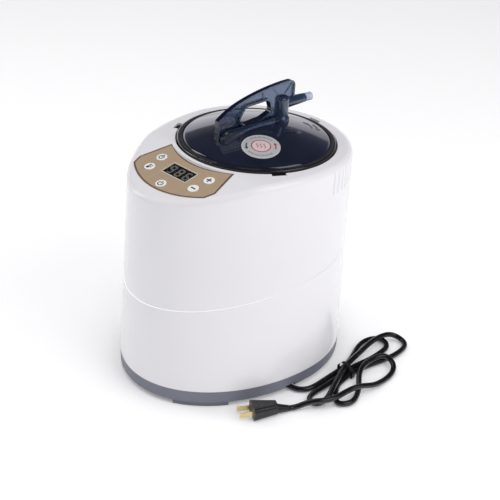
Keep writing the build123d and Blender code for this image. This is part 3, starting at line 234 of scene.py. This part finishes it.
def step_painted_highlight(shader):
    """Painted highlight: a faint white emission on the narrow top of the step in the front wall, standing
    in for the light that this top catches as a bright line.
    """
    highlight_top = 190 * MM         # no painted highlight above this, full strength a fade lower
    fade = 10 * MM
    front_end = -70 * MM        # full painted highlight in front of this, none behind rear_end
    rear_end = 25 * MM
    place = shader.split(shader.coords)
    upwards = shader.ranged(shader.split(shader.normal)["Z"], 0, 0.5, start=0.7, stop=0.9)
    low = shader.ranged(place["Z"], 1, 0, start=highlight_top - fade, stop=highlight_top)
    front = shader.ranged(place["Y"], 1, 0, start=front_end, stop=rear_end)
    return shader.compute("MULTIPLY", shader.compute("MULTIPLY", upwards, low), front)


def panel_look(name):
    """Champagne metallic film with a fine vertical brush."""
    shader = surface(name, (0.56, 0.415, 0.27), 0.38, vary=0.05, patch=35.0,
                     grain=900.0, depth=0.01, strength=0.12, drawn=(6, 1, 1), Metallic=0.35)
    flakes = shader.ranged(shader.noise(2600.0, 2.0), 0, 1, start=0.45, stop=0.6)
    flake_colour = (0.62, 0.475, 0.33)
    shader.feed(shader.blend(flakes, shader.feeding("Base Color"), flake_colour), "Base Color")
    return shader


# Material slot: (function, colour, roughness, options); a look with a function of its own has no values
STEEL = (0.60, 0.60, 0.61)
LOOKS = {
    # housing
    "shell_white": (shell_look, {}),
    "base_grey": (surface, (0.158, 0.166, 0.210), 0.42, dict(grain=520.0, depth=0.05)),
    "foot_rubber": (surface, (0.13, 0.136, 0.17), 0.6, dict(grain=420.0, depth=0.06)),
    "screw_steel": (metal, STEEL, 0.3, dict(grain=900.0)),
    "collar_plastic": (surface, (0.66, 0.66, 0.67), 0.4, dict(depth=0.04)),
    # pot and heater
    "pot_steel": (surface, (0.70, 0.70, 0.71), 0.3, dict(drawn=(1, 1, 14), strength=0.12, Metallic=0.5)),
    "cast_aluminium": (metal, (0.58, 0.58, 0.57), 0.5, dict(grain=300.0, depth=0.12)),
    "element_sheath": (metal, (0.16, 0.145, 0.13), 0.45, dict(vary=0.35)),
    "sensor_housing": (surface, (0.02, 0.02, 0.02), 0.4, {}),
    "fuse_metal": (metal, (0.62, 0.5, 0.28), 0.35, {}),
    "sensor_metal": (metal, (0.62, 0.42, 0.18), 0.35, {}),
    "shield_sheet": (metal, (0.68, 0.68, 0.68), 0.35, dict(drawn=(1, 16, 1))),
    # electronics
    "board_green": (surface, (0.02, 0.09, 0.04), 0.3, dict(vary=0.25, patch=160.0)),
    "relay_case": (surface, (0.015, 0.02, 0.05), 0.35, {}),
    "transformer_tape": (surface, (0.55, 0.4, 0.06), 0.4, dict(vary=0.15)),
    "capacitor_can": (surface, (0.012, 0.012, 0.02), 0.25, {}),
    "terminal_plastic": (surface, (0.02, 0.12, 0.04), 0.4, {}),
    "heat_sink_black": (metal, (0.02, 0.02, 0.02), 0.45, {}),
    "switch_black": (surface, (0.02, 0.02, 0.02), 0.45, {}),
    "module_black": (surface, (0.03, 0.03, 0.03), 0.45, {}),
    "lead_silicone": (surface, (0.60, 0.58, 0.52), 0.5, {}),
    "ribbon_grey": (surface, (0.45, 0.45, 0.47), 0.45, dict(drawn=(30, 1, 1), vary=0.2)),
    # key panel: champagne plate, white keys, pale bars under a thin smoked window
    "panel_champagne": (panel_look, {}),
    "key_white": (surface, (0.82, 0.815, 0.80), 0.28, dict(vary=0.02, depth=0.01)),
    "digit_grey": (surface, (0.80, 0.79, 0.74), 0.35, dict(patch=200.0)),
    "display_window": (surface, (0.72, 0.72, 0.71), 0.12,
                       dict(vary=0.02, patch=60.0, grain=400.0, depth=0.005, strength=0.05,
                            Transmission_Weight=1.0, IOR=1.25)),
    # lid: smoked navy dome with a faint orange-peel waviness, brushed foil label, clear blue handle
    "dome_navy": (surface, (0.012, 0.015, 0.03), 0.07,
                  dict(vary=0.3, patch=12.0, grain=120.0, strength=0.05,
                       Coat_Weight=0.6, Coat_Roughness=0.03, IOR=1.55)),
    "label_silver": (surface, (0.62, 0.63, 0.64), 0.34,
                     dict(vary=0.05, patch=60.0, grain=900.0, depth=0.01, drawn=(1, 7, 1), Metallic=0.35)),
    "gasket_rubber": (surface, (0.70, 0.70, 0.68), 0.55, dict(depth=0.04)),
    "ring_black": (surface, (0.012, 0.012, 0.015), 0.16,
                   dict(vary=0.2, grain=300.0, strength=0.06, Coat_Weight=0.5, Coat_Roughness=0.05)),
    "baffle_steel": (metal, STEEL, 0.25, dict(drawn=(14, 1, 1))),
    "handle_blue": (handle_look, {}),
    # the edge colours of the clear column and tip are a painted shade for where they are seen edge-on
    "column_blue": (clear, (0.07, 0.11, 0.22), 0.05,
                    dict(edge=(0.012, 0.018, 0.05), share=0.7, Coat_Weight=0.5)),
    "tip_clear": (clear, (0.62, 0.66, 0.78), 0.15, dict(edge=(0.30, 0.36, 0.52), share=0.6)),
    # cord and plug
    "cord_black": (surface, (0.008, 0.008, 0.010), 0.24,
                   dict(vary=0.3, patch=60.0, grain=500.0, depth=0.04, Coat_Weight=0.3)),
    "grommet_black": (surface, (0.012, 0.012, 0.012), 0.5, {}),
    "tie_black": (surface, (0.010, 0.010, 0.010), 0.4, dict(drawn=(1, 10, 1))),
    "plug_black": (surface, (0.009, 0.009, 0.011), 0.3, dict(vary=0.25, grain=450.0)),
    "pin_brass": (metal, (0.72, 0.58, 0.30), 0.25, dict(drawn=(1, 8, 1))),
}

made = {}
for subpart in frame["record"]["subparts"]:
    piece = nodes[subpart["node"]]
    slot = subpart["material_slot"]
    if slot not in made:
        maker, *values, options = LOOKS[slot]
        made[slot] = maker(slot, *values, **options).material
    if not piece.data.materials:
        piece.data.materials.append(made[slot])
    for material_slot in piece.material_slots:
        material_slot.link = "OBJECT"
        material_slot.material = made[slot]


def ink(name, colour, rough=0.4, patch=300.0, **inputs):
    """Thin print or paint."""
    return surface(name, colour, rough, patch=patch, depth=0.005, **inputs).material


ink_dark = ink("ink_dark", (0.035, 0.035, 0.04))
ink_red = ink("ink_red", (0.40, 0.030, 0.040))
ink_pink = ink("ink_pink", (0.60, 0.50, 0.51), 0.38, 200.0)
ink_grey = ink("ink_grey", (0.19, 0.19, 0.20))
ink_brown = ink("ink_brown", (0.13, 0.092, 0.066), 0.42, 200.0)
bezel_light = ink("bezel_light", (0.78, 0.75, 0.68), 0.3, 200.0, Metallic=0.3)


# ---------------------------------------------------------------- strips that marks are made of
# A strip is a pair of point lists, its left and right edge, in millimetres on a surface.
def arc(radius, start, stop, steps, centre=(0, 0)):
    """Points along an arc; angles in degrees."""
    angles = [math.radians(start + (stop - start) * i / steps) for i in range(steps + 1)]
    return [(centre[0] + radius * math.cos(a), centre[1] + radius * math.sin(a)) for a in angles]


def band(inner, outer, start=0.0, stop=360.0, centre=(0, 0), steps=48):
    """Strip between two radii."""
    return arc(inner, start, stop, steps, centre), arc(outer, start, stop, steps, centre)


def stroke(x0, y0, x1, y1, width):
    """Straight strip of a given width."""
    length = math.hypot(x1 - x0, y1 - y0)
    nx = -(y1 - y0) / length * width / 2
    ny = (x1 - x0) / length * width / 2
    return [(x0 + nx, y0 + ny), (x1 + nx, y1 + ny)], [(x0 - nx, y0 - ny), (x1 - nx, y1 - ny)]


def curved_arrow(radius, start, stop, width, head):
    """Arc with an arrow head at its stop end, as long as head and a little wider."""
    turn = math.copysign(1.0, stop - start)
    tip = stop + turn * math.degrees(head / radius)
    steps = 10
    left, right = [], []
    for i in range(steps + 1):
        angle = math.radians(stop + (tip - stop) * i / steps)
        spread = head * 0.6 * (1 - i / steps)
        left.append(((radius - spread) * math.cos(angle), (radius - spread) * math.sin(angle)))
        right.append(((radius + spread) * math.cos(angle), (radius + spread) * math.sin(angle)))
    return [band(radius - width / 2, radius + width / 2, start, stop, steps=16), (left, right)]


def arc_through(first, middle, last, steps):
    """Points on the circle through three points."""
    (ax, ay), (bx, by), (cx, cy) = first, middle, last
    a2, b2, c2 = ax * ax + ay * ay, bx * bx + by * by, cx * cx + cy * cy
    d = 2 * (ax * (by - cy) + bx * (cy - ay) + cx * (ay - by))
    ux = (a2 * (by - cy) + b2 * (cy - ay) + c2 * (ay - by)) / d
    uy = (a2 * (cx - bx) + b2 * (ax - cx) + c2 * (bx - ax)) / d
    start = math.degrees(math.atan2(ay - uy, ax - ux))
    stop = math.degrees(math.atan2(cy - uy, cx - ux))
    shorter_way = (stop - start + 180) % 360 - 180
    return arc(math.hypot(ax - ux, ay - uy), start, start + shorter_way, steps, (ux, uy))


def moved(strips, shift):
    """Strips moved along their own y."""
    return [tuple([(x, y + shift) for x, y in edge] for edge in strip) for strip in strips]


def marks(name, strips, place, thickness, material, body):
    """Thin raised piece made of strips; place maps millimetres on the surface to the row frame."""
    bm = bmesh.new()
    for left, right in strips:
        rings = []
        for (lx, ly), (rx, ry) in zip(left, right):
            corners = ((lx, ly, 0), (rx, ry, 0), (rx, ry, thickness), (lx, ly, thickness))
            rings.append([bm.verts.new(place(*corner)) for corner in corners])
        for a, b in zip(rings, rings[1:]):
            for i in range(4):
                j = (i + 1) % 4
                bm.faces.new((a[i], a[j], b[j], b[i]))
        bm.faces.new(rings[0][::-1])
        bm.faces.new(rings[-1])
    bmesh.ops.remove_doubles(bm, verts=bm.verts, dist=1e-7)
    bmesh.ops.recalc_face_normals(bm, faces=bm.faces)
    mesh = bpy.data.meshes.new(name)
    bm.to_mesh(mesh)
    bm.free()
    mesh.materials.append(material)
    piece = bpy.data.objects.new(name, mesh)
    bpy.context.scene.collection.objects.link(piece)
    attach(piece, body)


# ---------------------------------------------------------------- marks on the key panel
SINK = 0.02                 # a mark starts this far under the surface that it is printed on


def panel_level(node):
    """Height of a node's top along the panel's normal."""
    return max(v.co.dot(PANEL_N) for v in nodes[node].data.vertices)


plate_level = panel_level("panel_plate")
plate_origin = PANEL_EDGE + PANEL_N * (plate_level - PANEL_EDGE.dot(PANEL_N) - SINK * MM)


def on_panel(node, level):
    """Placement about a node's middle, at a height along the panel's normal."""
    points = [v.co for v in nodes[node].data.vertices]
    across = [p.dot(PANEL_X) for p in points]
    along = [p.dot(PANEL_Y) for p in points]
    middle = (
        PANEL_X * (min(across) + max(across)) / 2
        + PANEL_Y * (min(along) + max(along)) / 2
        + PANEL_N * (level - SINK * MM)
    )
    return lambda x, y, z: middle + (PANEL_X * x + PANEL_Y * y + PANEL_N * z) * MM


def on_plate(x, y, z):
    """Placement on the key plate, about the upper end of its slope."""
    return plate_origin + (PANEL_X * x + PANEL_Y * y + PANEL_N * z) * MM


clock_middle = (0, -0.5)
bulb_middle = (-1.0, -2.2)
thin = 1.0
icons = {
    "key_plus": [stroke(-3.6, 0, 3.6, 0, 1.7), stroke(0, -3.6, 0, 3.6, 1.7)],
    "key_minus": [stroke(-3.4, 0, 3.4, 0, 1.8)],
    # open ring with a bar
    "key_power": [band(2.5, 3.8, 125, 415, (0, -0.5)), stroke(0, 0.2, 0, 4.3, 1.3)],
    # clock: ring, two hands and a crown
    "key_timer": [
        band(2.5, 3.7, centre=clock_middle),
        stroke(*clock_middle, 0, 1.7, thin),
        stroke(*clock_middle, 1.5, -0.5, thin),
        stroke(-1.3, 4.2, 1.3, 4.2, thin),
    ],
    # thermometer: bulb, stem and three ticks
    "key_temperature": [
        band(0.05, 2.0, centre=bulb_middle),
        stroke(-1.0, -2.0, -1.0, 4.0, 1.7),
        *(stroke(1.0, y, 3.2, y, thin) for y in (3.2, 1.2, -0.8)),
    ],
}
for key, strips in icons.items():
    marks(f"{key}_mark", strips, on_panel(key, panel_level(key)), 0.09, ink_dark, key)


def plate_outline(inset):
    """Edge of the key plate, moved inwards: concave back, splayed sides, convex front."""
    back_middle = (0, -16.3 - inset)
    back_quarter = (26.0 - inset / 2, -12.83 - inset)
    back_corner = (52.0 - inset, -2.4 - inset)
    side = (63.0 - inset * 1.1, -42.5)
    front_corner = (59.0 - inset, -55.0 + inset / 2)
    front_quarter = (30.0, -70.6 + inset)
    front_middle = (0, -75.9 + inset)
    back = arc_through(back_middle, back_quarter, back_corner, 20)
    front = arc_through(front_corner, front_quarter, front_middle, 20)
    right = [*back, side, *front]
    return right + [(-x, y) for x, y in reversed(right)]


def rectangle(half_width, half_height):
    """Closed outline about the middle."""
    corners = ((-1, -1), (1, -1), (1, 1), (-1, 1), (-1, -1))
    return [(x * half_width, y * half_height) for x, y in corners]


# dark line around the key panel, light bezel around the display
marks("panel_border", [(plate_outline(0.1), plate_outline(2.0))], on_plate, 0.06, ink_brown,
      "housing")
bezel_half_width = 18.9
bezel_half_height = 9.55
bezel_rim = 1.1
bezel_inner = rectangle(bezel_half_width, bezel_half_height)
bezel_outer = rectangle(bezel_half_width + bezel_rim, bezel_half_height + bezel_rim)
marks("display_bezel", [(bezel_inner, bezel_outer)], on_panel("display_window", plate_level), 0.08,
      bezel_light, "housing")


# ---------------------------------------------------------------- marks on the lid
def middle(node):
    """Middle of a node in plan."""
    low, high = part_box(node)
    return (low.x + high.x) / 2, (low.y + high.y) / 2


dome_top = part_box("lid_dome")[1].z
axis_x, axis_y = middle("lid_gasket")


def on_dome(centre_x, centre_y, turn, lift):
    """Placement on the dome about a point, turned about the upright axis."""
    c, s = math.cos(turn), math.sin(turn)

    def place(x, y, z):
        px = centre_x + (x * c - y * s) * MM
        py = centre_y + (x * s + y * c) * MM
        reach = (px - axis_x) ** 2 + (py - axis_y) ** 2
        height = dome_top - DOME_SPHERE + math.sqrt(DOME_SPHERE ** 2 - reach)
        return Vector((px, py, height + (lift + z) * MM))

    return place


# disc label, level for the camera: ticks and a steam sign stand in for its lettering
label_lift = 0.28           # the print starts this far over the dome
label_print = 0.08
tint_radius = 10.4
ring_radius = 11.6
on_label = on_dome(*middle("lid_label"), math.radians(VIEW_AZIMUTH), label_lift)


def label_mark(name, strips, material, thickness=label_print):
    marks(name, strips, on_label, thickness, material, "lid")


def wave(x0):
    """Upright wavy strip of the steam sign."""
    width, swing, step, points = 1.0, 1.0, 0.7, 13
    bottom = -step * (points - 1) / 2
    left = [(x0 - width / 2 + swing * math.sin(i / 2), bottom + i * step) for i in range(points)]
    return left, [(x + width, y) for x, y in left]


def tick_arc(start, stop):
    """Ticks between two angles, every third one longer."""
    count, half_angle = 17, 1.5
    inner, outer, long_outer = 16.6, 18.4, 19.2
    for i in range(count):
        angle = start + (stop - start) * i / (count - 1)
        end = outer if i % 3 else long_outer
        yield band(inner, end, angle - half_angle, angle + half_angle, steps=2)


label_mark("label_tint", [band(0.05, 5.0), band(5.0, tint_radius)], ink_pink, 0.05)
label_mark("label_ring", [band(tint_radius, ring_radius)], ink_red)
label_mark("label_steam_sign", [wave(x0) for x0 in (-4.2, 0.0, 4.2)], ink_red, 0.11)
for name, start, stop, material in (("close", 165, 192, ink_dark), ("open", -12, 15, ink_red)):
    label_mark(f"label_arrow_{name}", curved_arrow(17.0, start, stop, width=1.5, head=4.0), material)
label_mark("label_ticks", [*tick_arc(48, 134), *tick_arc(222, 318)], ink_grey)
label_mark("label_edge", [band(21.6, 22.3)], bezel_light)

# small raised lock signs, part of the dome's moulding, towards the rear; they are coloured lighter than the
# dome's navy plastic, a painted highlight for the light that their raised faces catch
on_mould = on_dome(axis_x + 29.7 * MM, axis_y + 68.8 * MM, math.radians(-24), -0.1)
lock_signs = []
for start, stop, shift in ((122, 62, -10.0), (62, 122, -18.5)):
    lock_signs += moved(curved_arrow(14.0, start, stop, width=2.1, head=5.2), shift)
# painted highlight: the signs' colour is several times lighter than the dome's own navy
painted_highlight_sign = surface("moulded_sign_painted_highlight", (0.075, 0.08, 0.10), 0.3, patch=120.0, depth=0.01).material
marks("dome_lock_signs", lock_signs, on_mould, 0.55, painted_highlight_sign, "lid")


# ---------------------------------------------------------------- floor and lights
def direction(azimuth, elevation):
    """Unit vector towards a viewer; azimuth 0 is in front of the object, 90 is on its +X side."""
    a, e = math.radians(azimuth), math.radians(elevation)
    return Vector((math.sin(a) * math.cos(e), -math.cos(a) * math.cos(e), math.sin(e)))


def pale_floor(half=20.0):
    """Matt floor that glows a little, so that it reads as white."""
    mesh = bpy.data.meshes.new("floor")
    corners = [(-half, -half, 0), (half, -half, 0), (half, half, 0), (-half, half, 0)]
    mesh.from_pydata(corners, [], [(0, 1, 2, 3)])
    look = surface("floor_pale", (0.93, 0.93, 0.932), 0.9, vary=0.004, patch=2.0,
                   Specular_IOR_Level=0.0, Emission_Color=(1, 1, 1, 1), Emission_Strength=0.14)
    mesh.materials.append(look.material)
    floor = bpy.data.objects.new("floor", mesh)
    bpy.context.scene.collection.objects.link(floor)


def area_light(name, azimuth, elevation, distance, width, height, power, colour=(1, 1, 1), mirrored=True):
    """Soft light that looks at the object; mirrored lights show in polished surfaces."""
    light = bpy.data.lights.new(name, "AREA")
    light.shape = "RECTANGLE"
    light.size, light.size_y = width, height
    light.energy = power
    light.color = colour
    lamp = bpy.data.objects.new(name, light)
    lamp.location = VIEW_TARGET + direction(azimuth, elevation) * distance
    lamp.rotation_euler = (VIEW_TARGET - lamp.location).to_track_quat("-Z", "Y").to_euler()
    lamp.visible_glossy = mirrored
    bpy.context.scene.collection.objects.link(lamp)


pale_floor()
area_light("key_softbox", 100, 42, 2.2, 1.4, 1.4, power=11, colour=(1.0, 0.99, 1.01))
area_light("left_softbox", -62, 28, 2.0, 0.5, 1.3, power=5)
area_light("low_fill", 125, 6, 1.7, 1.2, 0.5, power=4.2, mirrored=False)
area_light("top_softbox", 20, 82, 2.4, 1.8, 1.8, power=14, mirrored=False)


# ---------------------------------------------------------------- world
world = bpy.data.worlds.new("studio")
world.use_nodes = True
bpy.context.scene.world = world
tree = world.node_tree
tree.nodes.clear()
rays = tree.nodes.new("ShaderNodeLightPath")
ray_direction = tree.nodes.new("ShaderNodeTexCoord").outputs["Generated"]
ROOM_TINT = (0.97, 0.955, 1.0)


def background(strength, colour):
    """Background of a plain colour, or of one that a socket gives."""
    node = tree.nodes.new("ShaderNodeBackground")
    node.inputs["Strength"].default_value = strength
    if isinstance(colour, tuple):
        node.inputs["Color"].default_value = (*colour, 1)
    else:
        tree.links.new(colour, node.inputs["Color"])
    return node.outputs[0]


def for_rays(kind, usual, special):
    """The special shader for one kind of ray, the usual one for the rest."""
    node = tree.nodes.new("ShaderNodeMixShader")
    tree.links.new(rays.outputs[kind], node.inputs["Fac"])
    tree.links.new(usual, node.inputs[1])
    tree.links.new(special, node.inputs[2])
    return node.outputs[0]


def graded(vector, steps):
    """Grey that follows the ray's part along a vector; steps are (part, level) pairs."""
    dot = tree.nodes.new("ShaderNodeVectorMath")
    dot.operation = "DOT_PRODUCT"
    dot.inputs[1].default_value = vector
    tree.links.new(ray_direction, dot.inputs[0])
    ramp = tree.nodes.new("ShaderNodeValToRGB")
    tree.links.new(dot.outputs["Value"], ramp.inputs["Fac"])
    elements = ramp.color_ramp.elements
    while len(elements) < len(steps):
        elements.new(0.5)
    for element, (position, level) in zip(elements, steps):
        element.position = position
        element.color = (*(level * part for part in ROOM_TINT), 1)
    return ramp.outputs["Color"]


def product(one, two):
    """Colours multiplied."""
    node = tree.nodes.new("ShaderNodeMix")
    node.data_type = "RGBA"
    node.blend_type = "MULTIPLY"
    node.inputs["Factor"].default_value = 1.0
    tree.links.new(one, socket_of(node.inputs, "A_Color"))
    tree.links.new(two, socket_of(node.inputs, "B_Color"))
    return socket_of(node.outputs, "Result_Color")


# even light on everything, a room that is bright low down and behind for polished surfaces to mirror,
# and a plain backdrop for the camera
low_sky = graded((0, 0, 1), ((0.0, 1.0), (0.29, 0.90), (0.325, 0.20), (0.50, 0.05), (1.0, 0.02)))
behind = graded(direction(243, 0), ((0.0, 0.10), (0.45, 0.14), (0.75, 0.55), (1.0, 1.0)))
even_light = background(0.62, (0.985, 0.98, 1.0))
room = background(1.2, product(low_sky, behind))
backdrop = background(0.95, (0.8, 0.8, 0.8))
sky = for_rays("Is Camera Ray", for_rays("Is Glossy Ray", even_light, room), backdrop)
tree.links.new(sky, tree.nodes.new("ShaderNodeOutputWorld").inputs["Surface"])


# ---------------------------------------------------------------- camera
camera_data = bpy.data.cameras.new("camera")
camera_data.sensor_width = 36.0
camera_data.lens = FOCAL_LENGTH * camera_data.sensor_width / PICTURE_SIDE
camera_data.clip_start = 0.01
camera_data.clip_end = 50.0
camera = bpy.data.objects.new("camera", camera_data)
bpy.context.scene.collection.objects.link(camera)
back = direction(VIEW_AZIMUTH, VIEW_ELEVATION)
level_right = direction(VIEW_AZIMUTH + 90, 0)
level_up = back.cross(level_right)
camera_right = level_right * math.cos(VIEW_ROLL) + level_up * math.sin(VIEW_ROLL)
camera_up = level_up * math.cos(VIEW_ROLL) - level_right * math.sin(VIEW_ROLL)
turn = Matrix((camera_right, camera_up, back)).transposed().to_4x4()
camera.matrix_world = Matrix.Translation(VIEW_TARGET + back * VIEW_DISTANCE) @ turn
bpy.context.scene.camera = camera
bpy.context.scene.view_settings.view_transform = "Standard"

bpy.context.view_layer.update()
